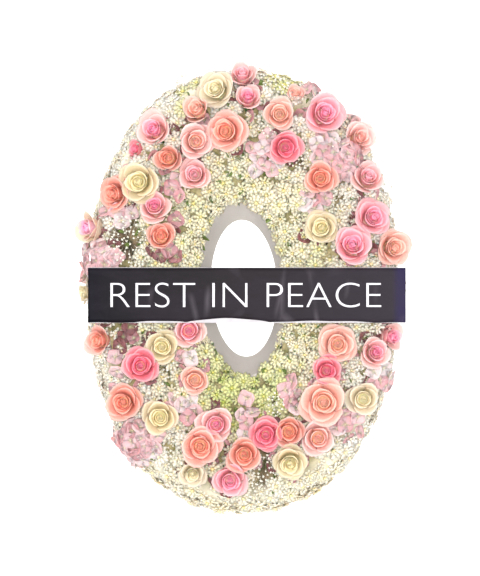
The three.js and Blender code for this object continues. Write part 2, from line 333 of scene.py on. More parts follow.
def hydrangeaPaint():      # the attribute tint runs from white through pink to a dark dusky pink, which paints shade
    paint = Paint("hydrangeaPetal", **petalFinish)
    across, along = paint.petalSurface()
    tint = paint.attribute("tint")
    # the last, dark stop is painted shade for florets in shadowed places
    shades = [(0.0, colour(232, 214, 211)), (0.35, colour(225, 181, 182)),
              (0.65, colour(218, 160, 164)), (1.0, colour(116, 70, 72))]
    body = paint.ramp(tint + (paint.noise(60, 2) - 0.5) * 0.3, shades)
    heart = along.between(0.3, 0.0)
    paint.feed("Base Color", paint.blend(heart * 0.6, body, colour(226, 224, 170)))
    paint.bump(paint.veins(across, along * 0.3, {}, 5.0, 3.0), 0.0004, 0.5)
    return paint.material


def filmPaint():      # black film, creased and a little glossy, with its sheen painted in: lighter towards the right, lighter mottles and painted highlights on the creases
    paint = Paint("blackFilm", Specular_IOR_Level=0.05)
    across = paint.coordinate("X").between(low.x, high.x)
    # the film is painted lighter from left to right: painted sheen
    shades = [(0.02, colour(8, 7, 18)), (0.12, colour(20, 17, 22)), (0.5, colour(33, 29, 32)),
              (0.94, colour(43, 38, 45)), (0.96, colour(43, 37, 64))]      # the hem at the right is bluer
    # the lighter mottles mixed into the colour are painted sheen; the same noise also sets roughness and
    # bump
    soft = paint.noise(14, 3, (1, 1, 2.2))
    body = paint.blend(soft.between(0.4, 0.8) * 0.35, paint.ramp(across, shades), colour(58, 52, 62))
    cells = {"Vector": paint.place((1, 1, 0.45)), "Scale": 16.0}
    folds = paint.node("ShaderNodeTexVoronoi", {"feature": "DISTANCE_TO_EDGE"}, cells)
    creases = folds.between(0.0, 0.05)
    # thin lighter lines along the creases: painted highlights
    creaseHighlights = (1 - folds.between(0.0, 0.10)) * paint.noise(9, 2).between(0.48, 0.62)
    paint.feed("Base Color", paint.blend(creaseHighlights * 0.4, body, colour(104, 97, 104)))
    paint.feed("Roughness", 0.36 + soft * 0.25)
    paint.bump(creases * 0.05 + soft, 0.0026, 0.7)
    return paint.material


def wirePaint():
    paint = Paint("zincWire", Metallic=1.0)
    grain = paint.noise(900, 3, (1, 1, 0.2))
    paint.feed("Base Color", paint.blend(grain, colour(150, 152, 154), colour(198, 199, 200)))
    paint.feed("Roughness", 0.3 + grain * 0.25)
    paint.bump(grain, 0.0001, 0.5)
    return paint.material


def innerPaint():      # leaves and stalks, with painted shade between the blooms and darker painted shade in the open sprays, and pale petals on the outer wall
    paint = Paint("innerLeavesAndShade", Roughness=0.85)
    spots = paint.noise(85, 4)
    pale = paint.blend(spots.between(0.35, 0.65), colour(176, 164, 124), colour(118, 114, 72))
    # the darker ground in the open sprays is painted shade
    sprayShade = paint.blend(spots.between(0.35, 0.65), colour(112, 92, 72), colour(48, 46, 30))
    shade = paint.blend(paint.attribute("openSpray"), pale, sprayShade)
    x = paint.coordinate("X") / ringHalf["x"]
    z = (paint.coordinate("Z") - centre.z) / ringHalf["z"]
    outwards = (x * x + z * z).between(0.74, 0.92)
    paint.feed("Base Color", paint.blend(outwards, shade, colour(234, 228, 208)))
    paint.bump(spots, 0.004, 1.0)
    return paint.material


foamMaterial = foamPaint()
panelMaterial = plainPaint("foamBoard", (216, 216, 213), (200, 200, 196), 60, 0.0002, 0.55)
boardMaterial = plainPaint("bannerBoard", (192, 188, 191), (176, 172, 176), 45, 0.0002, 0.5)
letterMaterial = plainPaint("whiteVinyl", (208, 205, 211), (196, 193, 200), 80, 0.0001, 0.45)
wireMaterial = wirePaint()
bambooMaterial = plainPaint("bamboo", (214, 184, 130), (186, 148, 92), 500, 0.0002, 0.6, (1, 0.04, 1))
floralFoamMaterial = plainPaint("floralFoam", (74, 104, 58), (50, 76, 42), 380, 0.0006, 0.95)
leafMaterial = plainPaint("leaf", (112, 128, 66), (76, 98, 44), 120, 0.0005, 0.5)
stalkMaterial = plainPaint("stalk", (116, 128, 70), (84, 98, 48), 200, 0.0003, 0.55)
leafAndShadeMaterial = innerPaint()
mumMaterial = mumPaint()
mumHeartMaterial = plainPaint("mumHeart", (200, 200, 74), (150, 160, 50), 900, 0.0012, 0.7)
hydrangeaMaterial = hydrangeaPaint()
gypsophilaMaterial = plainPaint("gypsophilaPetal", (250, 248, 240), (226, 224, 206), 700, 0.0003, 0.6)
print("materials made")


# camera, first, so that everything is seen from it

cameraSetup = {"distance": 4.5, "lens": 178.8, "across": -0.006, "up": 0.0045}
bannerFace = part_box("banner_sheet")[0].y
camera = newObject("camera", bpy.data.cameras.new("camera"))
camera.data.sensor_fit = "HORIZONTAL"
camera.data.lens = cameraSetup["lens"]
aimHeight = (low.z + high.z) / 2 + cameraSetup["up"]
camera.location = (cameraSetup["across"], bannerFace - cameraSetup["distance"], aimHeight)
camera.rotation_euler = (math.radians(90), 0, 0)
bpy.context.scene.camera = camera


# where the blooms stand: their own CAD stems say it

bloomStem = {"radius": 0.0024, "length": 0.060, "endReach": 2.2, "slack": 0.0012}


def bloomPlace(name):      # base of the head, axis, radius and height of the head
    points = [vertex.co.copy() for vertex in cadNodes[name].data.vertices]
    middle = sum(points, Vector()) / len(points)
    tip = max(points, key=lambda point: (point - middle).length)
    reach = bloomStem["endReach"] * bloomStem["radius"]
    endRing = [point for point in points if (point - tip).length < reach]
    stemEnd = sum(endRing, Vector()) / len(endRing)
    topRing = [p for p in points if abs((p - stemEnd).length - bloomStem["length"]) < bloomStem["slack"]]
    base = sum(topRing, Vector()) / len(topRing)
    axis = (base - stemEnd).normalized()
    offsets = [point - base for point in points]
    radius = max((offset - axis * offset.dot(axis)).length for offset in offsets)
    height = max(offset.dot(axis) for offset in offsets)
    return base, axis, radius, height


blooms = {name: bloomPlace(name) for name in roseNodes + hydrangeaNodes}


def faceTree(names):
    bm = bmesh.new()
    for name in names:
        bm.from_mesh(cadNodes[name].data)
    tree = BVHTree.FromBMesh(bm)
    bm.free()
    return tree


bedTree = faceTree(bedNodes)
bloomTree = faceTree(roseNodes + hydrangeaNodes)
solidTree = faceTree(bedNodes + roseNodes + hydrangeaNodes + ["foam_body"])


def seenFrom(tree, x, z):      # the point and normal that are seen from the front at x, z
    return tree.ray_cast(Vector((x, low.y - 1, z)), Vector((0, 1, 0)))[:2]


def onBed(x, z):
    return seenFrom(bedTree, x, z)


# roses

roseShape = {
    "golden": math.radians(137.5),
    "across": 8, "along": 8,      # faces of one petal
    "thickness": 0.013,           # share of the rose's radius
    "spread": 1.03,               # how far the outer petals reach past the CAD head
}
roseKinds = [      # petals in the heart, middle and outer whorl of each template, and its openness
    (11, 6, 6, 1.0), (9, 5, 5, 0.85), (9, 4, 5, 0.7), (12, 7, 7, 1.05),
    (10, 5, 5, 0.8), (10, 6, 6, 0.92), (8, 4, 4, 0.6),
]
roseWhorls = [(0.0, 0.32), (0.42, 0.62), (0.78, 1.0)]      # 0 is the heart, 1 the outermost petal
roseCore = {"radius": 0.38, "top": 0.97}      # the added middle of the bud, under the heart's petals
petalBend = {      # each from the heart to the outermost petal
    "wrap": (125, 62),      # degrees round the axis to each side
    "length": (1.20, 1.44), "foot": (0.03, 0.16), "footHeight": (0.12, 0.0),
    "start": (22, 66), "belly": (-4, 34), "lip": (-14, 105),      # lean from the axis, in degrees
    "drop": (0.12, 0.26),      # how much shorter the sides are
}
petalFold = {"steps": 24, "bellyAt": 0.38, "lipFrom": 0.62, "point": 0.05, "flare": 0.05, "skew": 0.035,
             "ripple": 0.07, "ripples": 2.3, "curl": 0.17}


def bendPetal(verts, share, turn, wobble, rng, openness):      # share 0 is the heart, 1 the outermost petal
    wrap = math.radians(mix(*petalBend["wrap"], share ** 0.6)) * rng.uniform(0.92, 1.08)
    length = mix(*petalBend["length"], share ** 0.7) * rng.uniform(0.95, 1.05)
    foot = mix(*petalBend["foot"], share)
    start = math.radians(mix(*petalBend["start"], share ** 0.8))
    belly = math.radians(mix(*petalBend["belly"], share ** 2.0) * openness)
    lip = math.radians(mix(*petalBend["lip"], share ** 1.6) * openness + rng.uniform(-8, 8))
    steps = petalFold["steps"]
    path = [(foot, mix(*petalBend["footHeight"], share))]      # distance from the axis, and height
    for i in range(steps):
        v = (i + 0.5) / steps
        lean = mix(start, belly, min(1, v / petalFold["bellyAt"]) ** 0.8)
        lean = mix(lean, lip, max(0, (v - petalFold["lipFrom"]) / (1 - petalFold["lipFrom"])) ** 1.7)
        r, z = path[-1]
        r = max(0.015, r + math.sin(lean) * length / steps)
        path.append((r, z + math.cos(lean) * length / steps))
    tip = rng.uniform(-0.25, 0.25)
    for vert in verts:
        u, v = vert.co.x * 2, vert.co.y + 0.5
        crest = 1 - mix(*petalBend["drop"], share) * abs(u - tip * 0.3) ** 2.2
        point = petalFold["point"] * share * max(0, 1 - abs(u - tip) * 2.5)
        along = v * (crest + point) * steps
        i = min(steps - 1, int(along))
        r = mix(path[i][0], path[i + 1][0], along - i)
        z = mix(path[i][1], path[i + 1][1], along - i)
        angle = turn + u * wrap * (0.5 + 0.5 * math.sin(min(1, v / 0.7) * math.pi / 2))
        r += petalFold["flare"] * share * abs(u) ** 2 * v + petalFold["skew"] * u * v * (1 - share * 0.4)
        ripples = petalFold["ripples"]
        spot = Vector((math.cos(angle) * ripples + wobble, math.sin(angle) * ripples, v * 1.5))
        ripple = noise.noise(spot) * petalFold["ripple"] * share * v ** 2
        r += ripple
        curl = petalFold["curl"] * share * abs(u) ** 3 * v ** 2      # the sides roll back to a pointed rim
        vert.co = Vector((r * math.cos(angle), r * math.sin(angle), z - curl + ripple * 0.6))


def meanReach(points, bins=24):      # the outline's mean distance from the axis
    reach = [0.0] * bins
    for point in points:
        k = int((math.atan2(point.y, point.x) / math.pi + 1) / 2 * bins) % bins
        reach[k] = max(reach[k], math.hypot(point.x, point.y))
    return sum(reach) / bins


def makeRose(seed, *kind):      # radius 1 and height 1, standing on its calyx
    *counts, openness = kind
    rng = random.Random(seed)
    bm = bmesh.new()
    petalMap = bm.loops.layers.uv.new("petal")
    depth = bm.verts.layers.float.new("depth")
    shares = []
    for (first, last), count in zip(roseWhorls, counts):
        shares += [mix(first, last, k / (count - 1)) for k in range(count)]
    across, along = roseShape["across"], roseShape["along"]
    for i, share in enumerate(shares):
        grid = bmesh.ops.create_grid(bm, x_segments=across, y_segments=along, size=0.5)
        for vert in grid["verts"]:
            vert[depth] = share
            for loop in vert.link_loops:
                loop[petalMap].uv = (vert.co.x + 0.5, vert.co.y + 0.5)
        turn = i * roseShape["golden"] + rng.uniform(-0.2, 0.2)
        bendPetal(grid["verts"], share, turn, seed * 3.1 + i, rng, openness)
    bmesh.ops.solidify(bm, geom=bm.faces[:], thickness=roseShape["thickness"])
    core = bmesh.ops.create_uvsphere(bm, u_segments=12, v_segments=8, radius=1)
    coreScale = (roseCore["radius"], roseCore["radius"], roseCore["top"] / 2)
    bmesh.ops.scale(bm, vec=coreScale, verts=core["verts"])
    bmesh.ops.translate(bm, vec=(0, 0, roseCore["top"] / 2), verts=core["verts"])
    wide = meanReach([vert.co for vert in bm.verts])
    tall = max(vert.co.z for vert in bm.verts)
    bmesh.ops.scale(bm, vec=(1 / wide, 1 / wide, 1 / tall), verts=bm.verts)
    return meshFrom(bm, "roseTemplate")


calyxShape = {"radius": 0.30, "flare": 0.42, "height": 0.16, "sides": 12}      # shares of the head's sizes


def addCone(bm, place, footRadius, topRadius, tall):
    cone = bmesh.ops.create_cone(bm, segments=calyxShape["sides"], cap_ends=True,
                                 radius1=footRadius, radius2=topRadius, depth=tall)
    bmesh.ops.transform(bm, matrix=place, verts=cone["verts"])


def addCalyx(mesh, base, axis, radius, height):      # the calyx and the cut stem, in the second material
    bm = bmesh.new()
    bm.from_mesh(mesh)
    before = set(bm.faces)
    stem, stemLength = bloomStem["radius"], bloomStem["length"]
    addCone(bm, frameOn(base - axis * stemLength / 2, axis), stem, stem, stemLength)
    tall = calyxShape["height"] * height
    cup = frameOn(base + axis * calyxShape["height"] * height / 2, axis)
    addCone(bm, cup, calyxShape["radius"] * radius, calyxShape["flare"] * radius, tall)
    for face in bm.faces:
        if face not in before:
            face.material_index = 1
            face.smooth = True
    bm.to_mesh(mesh)
    bm.free()


roseTemplates = [makeRose(seed + 1, *kind) for seed, kind in enumerate(roseKinds)]

roseLooks = {      # colour and template of each rose, in the order of the nodes
    "rose_pink": [
        ("pinkSoft", 6), ("pinkTwoTone", 2), ("pinkTwoTone", 4), ("pinkSoft", 1), ("pinkTwoTone", 1),
        ("pinkYellow", 6), ("pink", 0), ("pinkDeep", 5), ("pinkSoft", 4), ("pink", 3), ("pink", 5),
        ("pinkTwoTone", 2), ("pinkDeep", 0), ("pinkTwoTone", 4), ("pinkDeep", 3), ("pink", 1),
        ("pinkTwoTone", 4), ("pinkTwoTone", 6), ("pinkDeep", 5),
    ],
    "rose_peach": [
        ("peachPale", 6), ("peach", 3), ("peachBlush", 4), ("peachDeep", 6), ("peachDeep", 3),
        ("peachDeep", 2), ("peachPale", 1), ("peachBlush", 0), ("peachDeep", 1), ("peachPale", 3),
        ("peach", 6), ("peachPale", 2), ("peachDeep", 0), ("peach", 5), ("peachDeep", 4),
        ("peachPale", 3), ("peachPale", 0), ("peachDeep", 2), ("peachBlush", 6),
    ],
    "rose_cream": [
        ("cream", 3), ("creamYellow", 0), ("creamYellow", 3), ("creamYellow", 0), ("creamYellow", 1),
        ("cream", 5), ("cream", 4), ("creamYellow", 3),
    ],
}

for number, name in enumerate(roseNodes):
    base, axis, radius, height = blooms[name]
    slot, _, place = name.rpartition("_")
    shade, template = roseLooks[slot][int(place) - 1]
    mesh = roseTemplates[template].copy()
    reach = radius * roseShape["spread"]
    mesh.transform(frameOn(base, axis, number * 2.4, (reach, reach, height)))
    addCalyx(mesh, base, axis, radius, height)
    addPiece("bloom_" + name, mesh, [rosePaints[shade], leafMaterial], slot, name)
print("roses", len(roseNodes))

smallRoses = [      # x and z from the middle, radius, colour, template, lean right and up in degrees
    (-0.202, 0.269, 0.017, "pinkDeep", 6, -45, 10),
    (0.098, 0.374, 0.017, "peachPale", 6, 10, 30),
    (-0.302, -0.005, 0.019, "creamYellow", 4, -60, 0),
]
for number, (x, z, radius, shade, template, right, up) in enumerate(smallRoses):
    inwards = 1.0
    while onBed(centre.x + x * inwards, centre.z + z)[0] is None:
        inwards -= 0.01
    surface, normal = onBed(centre.x + x * inwards, centre.z + z)
    axis = Vector((math.tan(math.radians(right)), -1, math.tan(math.radians(up)))).normalized()
    height = 1.5 * radius
    base = Vector((centre.x + x, surface.y, centre.z + z)) - axis * height * 0.5
    mesh = roseTemplates[template].copy()
    mesh.transform(frameOn(base, axis, number * 1.9, (radius, radius, height)))
    addCalyx(mesh, base, axis, radius, height)
    slot = next(slot for slot in ("rose_pink", "rose_peach", "rose_cream") if shade.startswith(slot[5:]))
    addPiece("smallRose_" + str(number + 1), mesh, [rosePaints[shade], leafMaterial], slot)
print("small roses", len(smallRoses))


# chrysanthemums

mumShape = {
    "layers": [(12, 1.0, -2), (10, 0.82, 19), (7, 0.56, 42)],      # petals, length, lift in degrees
    "petalWidth": 0.225, "petalThickness": 0.03, "foot": 0.06,      # shares of the head's radius
    "droop": 0.16, "trough": 0.12, "heart": 0.14, "heartLift": 0.16,
    "radius": (0.0205, 0.0245), "spacing": 0.0265, "fromBloom": 0.008, "templates": 8,
    "lean": 0.2, "depth": 0.005,      # a head's foot lies this far under the bed's face
}
mumBud = {      # half open, in the gaps between the heads
    "layers": [(8, 1.0, 22), (5, 0.7, 52)],
    "radius": (0.013, 0.017), "spacing": 0.0172, "fromBloom": 0.003, "templates": 4,
}
bedScatter = {"samples": 14000, "smoothing": 0.03, "fromBack": 0.018}      # where a head may stand


def makeMum(seed, layers):      # radius 1, facing +Z
    rng = random.Random(seed)
    bm = bmesh.new()
    petalMap = bm.loops.layers.uv.new("petal")
    for count, length, lift in layers:
        for i in range(count):
            turn = (i + rng.uniform(-0.25, 0.25)) / count * 2 * math.pi + lift
            lean = math.radians(lift + rng.uniform(-9, 9))
            long = length * rng.uniform(0.88, 1.0)
            wide = mumShape["petalWidth"] * rng.uniform(0.85, 1.15)
            petal = bmesh.ops.create_uvsphere(bm, u_segments=4, v_segments=3, radius=1)
            for vert in petal["verts"]:
                along = (vert.co.z + 1) / 2
                for loop in vert.link_loops:
                    loop[petalMap].uv = (0, along)
                out = mumShape["foot"] + long * along * math.cos(lean)
                up = long * along * math.sin(lean) - mumShape["droop"] * along ** 2
                side = vert.co.x * wide * (0.6 + 0.6 * along)
                thick = vert.co.y * mumShape["petalThickness"] + mumShape["trough"] * abs(side)
                out -= thick * math.sin(lean)
                up += thick * math.cos(lean)
                vert.co = turned(out, side, up, turn)
    bmesh.ops.recalc_face_normals(bm, faces=bm.faces)
    heart = bmesh.ops.create_uvsphere(bm, u_segments=6, v_segments=4, radius=mumShape["heart"])
    for face in {face for vert in heart["verts"] for face in vert.link_faces}:
        face.material_index = 1
    bmesh.ops.translate(bm, vec=(0, 0, mumShape["heartLift"]), verts=heart["verts"])
    return meshFrom(bm, "mumTemplate")


def tinted(mesh, tint):      # a copy whose UV map's across holds the tint
    copy = mesh.copy()
    for loop in copy.uv_layers["petal"].data:
        loop.uv.x = tint
    return copy


def faceSamples(names, count, seed, clear=0.07):      # random points with this much free room above
    rng = random.Random(seed)
    faces = []
    total = 0.0
    for name in names:
        mesh = cadNodes[name].data
        mesh.calc_loop_triangles()
        for triangle in mesh.loop_triangles:
            corners = [mesh.vertices[i].co for i in triangle.vertices]
            total += triangle.area
            faces.append((total, corners, triangle.normal.copy()))
    found = []
    step = total / count
    target = rng.uniform(0, step)
    for reached, corners, normal in faces:
        while target < reached:
            target += step
            a, b = rng.random(), rng.random()
            if a + b > 1:
                a, b = 1 - a, 1 - b
            point = corners[0] + (corners[1] - corners[0]) * a + (corners[2] - corners[0]) * b
            if solidTree.ray_cast(point + normal * 0.0005, normal, clear)[0] is None:
                found.append((point, normal))
    rng.shuffle(found)
    return found


def smoothNormals(samples, reach):
    tree = KDTree(len(samples))
    for i, (point, normal) in enumerate(samples):
        tree.insert(point, i)
    tree.balance()
    smooth = []
    for point, normal in samples:
        around = sum((samples[i][1] for _, i, _ in tree.find_range(point, reach)), Vector())
        smooth.append((point, around.normalized()))
    return smooth


def spaced(samples, spacing, kept=()):      # samples this far apart, and from the points kept before
    chosen = []
    cells = {}
    around = list(product((-1, 0, 1), repeat=3))

    def cell(point):
        return tuple(int(part // spacing) for part in point)

    for point in kept:
        cells.setdefault(cell(point), []).append(point)
    for point, normal in samples:
        i, j, k = cell(point)
        near = [other for a, b, c in around for other in cells.get((i + a, j + b, k + c), [])]
        if all((point - other).length > spacing for other in near):
            chosen.append((point, normal))
            cells.setdefault((i, j, k), []).append(point)
    return chosen


def reachOut(point):      # 0 at the middle of the wreath, 1 at its outline
    return math.hypot((point.x - centre.x) / ringHalf["x"], (point.z - centre.z) / ringHalf["z"])


# ellipses of the face, in metres from the middle of the wreath: x, z, half width, half height
hydrangeaPatches = [
    (0.038, 0.258, 0.029, 0.044), (0.153, 0.285, 0.018, 0.029), (0.140, 0.240, 0.013, 0.014),
    (0.183, 0.228, 0.024, 0.029), (0.134, 0.172, 0.026, 0.021), (-0.124, 0.198, 0.017, 0.022),
    (-0.228, 0.147, 0.032, 0.016), (-0.279, 0.053, 0.040, 0.036), (-0.143, 0.066, 0.029, 0.017),
    (-0.125, 0.121, 0.011, 0.018), (-0.217, -0.092, 0.026, 0.026), (-0.109, -0.132, 0.016, 0.018),
    (-0.200, -0.287, 0.042, 0.044), (-0.119, -0.224, 0.029, 0.022), (0.006, -0.238, 0.025, 0.035),
    (0.092, -0.200, 0.016, 0.034), (0.258, -0.162, 0.023, 0.025), (0.196, -0.253, 0.027, 0.029),
    (0.126, 0.379, 0.012, 0.010), (0.217, 0.322, 0.014, 0.010), (-0.243, -0.143, 0.010, 0.016),
]
shadedPatches = [      # the darker ones of them, tinted dark as painted shade
    (-0.217, -0.092, 0.028, 0.028), (-0.125, 0.121, 0.012, 0.019), (-0.143, 0.066, 0.030, 0.018),
]
openSprays = [      # only gypsophila, and the inner bed's leaves and painted shade there
    (-0.221, 0.096, 0.033, 0.045), (0.040, -0.349, 0.026, 0.034), (0.107, 0.248, 0.019, 0.015),
    (0.185, 0.172, 0.016, 0.018), (-0.132, -0.304, 0.014, 0.016), (0.062, -0.217, 0.012, 0.018),
    (-0.145, -0.149, 0.014, 0.014),
]
greenPatches = [      # greener chrysanthemums
    (-0.085, 0.365, 0.050, 0.036), (0.072, 0.405, 0.042, 0.022), (-0.215, 0.205, 0.020, 0.020),
]
mumTints = {      # 0 is white, 0.45 cream and 1 green
    "hole": 0.5, "outline": 0.05, "underHole": 0.95, "bottomShadeTint": 0.30, "greenPatch": 0.72, "spread": 0.12,
}


def inPatch(point, patches, share=1.0):
    x, z = point.x - centre.x, point.z - centre.z
    return any(math.hypot((x - px) / wide, (z - pz) / tall) < share for px, pz, wide, tall in patches)


def bareBed(kind, kept=()):      # where heads of a kind have room
    free = [s for s in bedSamples if bloomTree.find_nearest(s[0])[3] > kind["fromBloom"]
            and not inPatch(s[0], hydrangeaPatches + openSprays)]
    return spaced(free, kind["spacing"], kept)


def mumTint(point):      # whiter towards the outline, greener under the hole, and a darker cream at the bottom as painted shade
    outwards = reachOut(point)
    tint = mix(mumTints["hole"], mumTints["outline"], clamp((outwards - 0.5) / 0.4))
    under = clamp(1.4 - abs(point.x - centre.x) / 0.09) * clamp((centre.z - 0.1 - point.z) / 0.06)
    tint = mix(tint, mumTints["underHole"], under * clamp((0.72 - outwards) / 0.12))
    # the lowest heads on the outer wall take a darker cream: painted shade
    bottomShade = clamp((centre.z - 0.28 - point.z) / 0.06) * clamp((outwards - 0.7) / 0.1)
    tint = mix(tint, mumTints["bottomShadeTint"], bottomShade)
    return mumTints["greenPatch"] if inPatch(point, greenPatches) else tint


bedSamples = faceSamples(bedNodes, bedScatter["samples"], 11)
bedSamples = smoothNormals(bedSamples, bedScatter["smoothing"])
bedSamples = [s for s in bedSamples if s[0].y < backFace - bedScatter["fromBack"]]
mumSpots = bareBed(mumShape)
budSpots = bareBed(mumBud, [point for point, normal in mumSpots])
mumTemplates = [makeMum(seed, mumShape["layers"]) for seed in range(mumShape["templates"])]
budTemplates = [makeMum(50 + seed, mumBud["layers"]) for seed in range(mumBud["templates"])]
rng = random.Random(5)
mumCopies = {name: [] for name in bedNodes}
for kind, templates, spots in (mumShape, mumTemplates, mumSpots), (mumBud, budTemplates, budSpots):
    for point, normal in spots:
        tint = clamp(mumTint(point) + rng.uniform(-mumTints["spread"], mumTints["spread"]))
        head = tinted(rng.choice(templates), tint)
        size = rng.uniform(*kind["radius"])
        axis = tilted(rng, normal, mumShape["lean"])
        place = standing(rng, point - normal * mumShape["depth"], axis, size)
        mumCopies[bedNodes[0 if point.x < 0 else 1]].append((head, place))
for name, copies in mumCopies.items():
    mesh = gather("mums", copies)
    addPiece("heads_" + name, mesh, [mumMaterial, mumHeartMaterial], "chrysanthemum", name)
    print("chrysanthemums", name, len(copies))


# the inner bed sunk under the heads, painted as leaves and stalks and as the shade between the blooms

innerBed = {      # how far the faces draw in, and the most as a share of the thickness
    "sink": 0.012, "most": 0.6, "seam": 0.002,
}

for name in bedNodes:
    bm = cadCopy(name, 180)
    bm.normal_update()
    tree = BVHTree.FromBMesh(bm)
    moves = []
    for vert in bm.verts:
        hit = tree.ray_cast(vert.co - vert.normal * 0.0004, -vert.normal)
        thickness = hit[3] if hit[0] is not None else 0.0
        moves.append(-vert.normal * min(innerBed["sink"], thickness * innerBed["most"]))
    # openSpray is 1 in the open sprays, where the inner bed is painted darker as shade
    openSpray = bm.verts.layers.float.new("openSpray")
    for vert, move in zip(bm.verts, moves):
        vert[openSpray] = inPatch(vert.co, openSprays, 1.2)
        if abs(vert.co.x - centre.x) < innerBed["seam"]:      # the two halves still meet
            move.x = 0
        vert.co += move
    addPiece("inner_" + name, meshFrom(bm, "innerBed"), [leafAndShadeMaterial], "chrysanthemum", name)
print("inner beds made")


leafShape = {
    "length": (0.016, 0.026),
    "width": 0.32, "thickness": 0.03, "fold": 0.3, "bend": 0.25,      # shares of the length
    "spacing": 0.019, "sunk": 0.003, "lean": 1.3, "templates": 4,
    "facing": -0.3, "outline": 0.93,      # leaves stand only on the front, inside the outline
}


def makeLeaf(seed):      # length 1 along +Z, folded along its rib
    rng = random.Random(300 + seed)
    bm = bmesh.new()
    grid = bmesh.ops.create_grid(bm, x_segments=2, y_segments=4, size=0.5)
    for vert in grid["verts"]:
        u, v = vert.co.x * 2, vert.co.y + 0.5
        wide = leafShape["width"] * math.sin(math.pi * mix(0.08, 0.97, v)) * (1.15 - 0.4 * v)
        fold = leafShape["fold"] * abs(u) * wide + leafShape["bend"] * v * v
        vert.co = Vector((u * wide, fold + rng.uniform(-0.02, 0.02), v))
    bmesh.ops.solidify(bm, geom=bm.faces[:], thickness=leafShape["thickness"])
    return meshFrom(bm, "leafTemplate")


leafTemplates = [makeLeaf(seed) for seed in range(leafShape["templates"])]
rng = random.Random(17)
leafSpots = [s for s in bedSamples
             if s[1].y < leafShape["facing"] and reachOut(s[0]) < leafShape["outline"]]
copies = []
for point, normal in spaced(leafSpots, leafShape["spacing"]):
    axis = tilted(rng, normal, leafShape["lean"])
    size = rng.uniform(*leafShape["length"])
    start = point - normal * (leafShape["sunk"] + 0.5 * size)
    template = leafTemplates[rng.randrange(len(leafTemplates))]
    copies.append((template, standing(rng, start, axis, size)))
addPiece("smallLeaves", gather("smallLeaves", copies), [leafMaterial], "chrysanthemum")
print("leaves", len(copies))


# hydrangeas

hydrangeaShape = {
    "radius": (0.0140, 0.0185), "templates": 5, "spacing": 0.0165,
    "thickness": 0.05, "cup": 0.16, "bead": 0.1,      # shares of a floret's radius
    "proud": 0.001, "fromBloom": 0.002,
    "filler": (0.0015, 0.016), "fillerSpacing": 0.0155, "fillerFacing": -0.55,      # gaps beside a bloom
}
hydrangeaHead = {"samples": 700, "clear": 0.03, "smoothing": 0.012, "from": 0.25, "spacing": 0.8,
                 "tints": (0.3, 0.8)}      # from is a share of the height, spacing of the florets'
floretLooks = {      # seed, tints from white to dusky, size, how far below the face, lean; the darkest tints are painted shade
    "pale": (59, (0.05, 0.75), 1.05, -0.003, 0.55),
    "shadedFlorets": (60, (0.75, 1.1), 1.0, 0.003, 0.6),
    "filler": (61, (0.66, 1.2), 0.95, 0.006, 0.6),
}


def makeFloret(seed):      # four rounded sepals, radius 1, facing +Z
    rng = random.Random(100 + seed)
    bm = bmesh.new()
    petalMap = bm.loops.layers.uv.new("petal")
    for i in range(4):
        turn = (i + rng.uniform(-0.12, 0.12)) * math.pi / 2
        lift = math.radians(rng.uniform(2, 24))
        wide = rng.uniform(0.62, 0.78)
        grid = bmesh.ops.create_grid(bm, x_segments=3, y_segments=3, size=0.5)
        for vert in grid["verts"]:
            u, v = vert.co.x * 2, vert.co.y + 0.5
            for loop in vert.link_loops:
                loop[petalMap].uv = (vert.co.x + 0.5, v)
            roundness = math.sin(math.pi * mix(0.12, 0.92, v) ** 0.8) if v < 1 else 0.45
            side = u * wide * max(0.16, roundness)
            out = 0.04 + 0.96 * v * (1 - 0.14 * abs(u) ** 2)
            up = out * math.sin(lift) + hydrangeaShape["cup"] * side * side + 0.02 * i
            out *= math.cos(lift)
            vert.co = turned(out, side, up, turn)
    bmesh.ops.solidify(bm, geom=bm.faces[:], thickness=hydrangeaShape["thickness"])
    bead = bmesh.ops.create_icosphere(bm, subdivisions=1, radius=hydrangeaShape["bead"])
    bmesh.ops.translate(bm, vec=(0, 0, 0.09), verts=bead["verts"])
    return meshFrom(bm, "floretTemplate")


floretTemplates = [makeFloret(seed) for seed in range(hydrangeaShape["templates"])]


def floretCopies(spots, seed, tints, share=1.0, sink=0.0, lean=0.35):
    rng = random.Random(seed)
    copies = []
    for point, normal in spots:
        floret = floretTemplates[rng.randrange(len(floretTemplates))].copy()
        layer = floret.attributes.new("tint", "FLOAT", "POINT")
        tint = rng.uniform(*tints)
        for item in layer.data:
            item.value = tint
        size = rng.uniform(*hydrangeaShape["radius"]) * share
        axis = tilted(rng, normal, lean)
        foot = point + normal * (hydrangeaShape["proud"] - sink)
        copies.append((floret, standing(rng, foot, axis, size)))
    return copies


for number, name in enumerate(hydrangeaNodes):
    base, axis, radius, height = blooms[name]
    samples = faceSamples([name], hydrangeaHead["samples"], 31 + number, hydrangeaHead["clear"])
    samples = smoothNormals(samples, hydrangeaHead["smoothing"])
    samples = [s for s in samples if (s[0] - base).dot(axis) > hydrangeaHead["from"] * height]
    spots = spaced(samples, hydrangeaShape["spacing"] * hydrangeaHead["spacing"])
    mesh = gather("hydrangea", floretCopies(spots, 41 + number, hydrangeaHead["tints"]))
    addCalyx(mesh, base, axis, radius, height)
    addPiece("bloom_" + name, mesh, [hydrangeaMaterial, leafMaterial], "hydrangea", name)

patchSpots, fillerSpots = [], []
nearest, farthest = hydrangeaShape["filler"]
for point, normal in bedSamples:
    fromBloom = bloomTree.find_nearest(point)[3]
    if fromBloom > hydrangeaShape["fromBloom"] and inPatch(point, hydrangeaPatches):
        patchSpots.append((point, normal))
    if nearest < fromBloom < farthest and normal.y < hydrangeaShape["fillerFacing"]:
        fillerSpots.append((point, normal))
patchSpots = spaced(patchSpots, hydrangeaShape["spacing"])
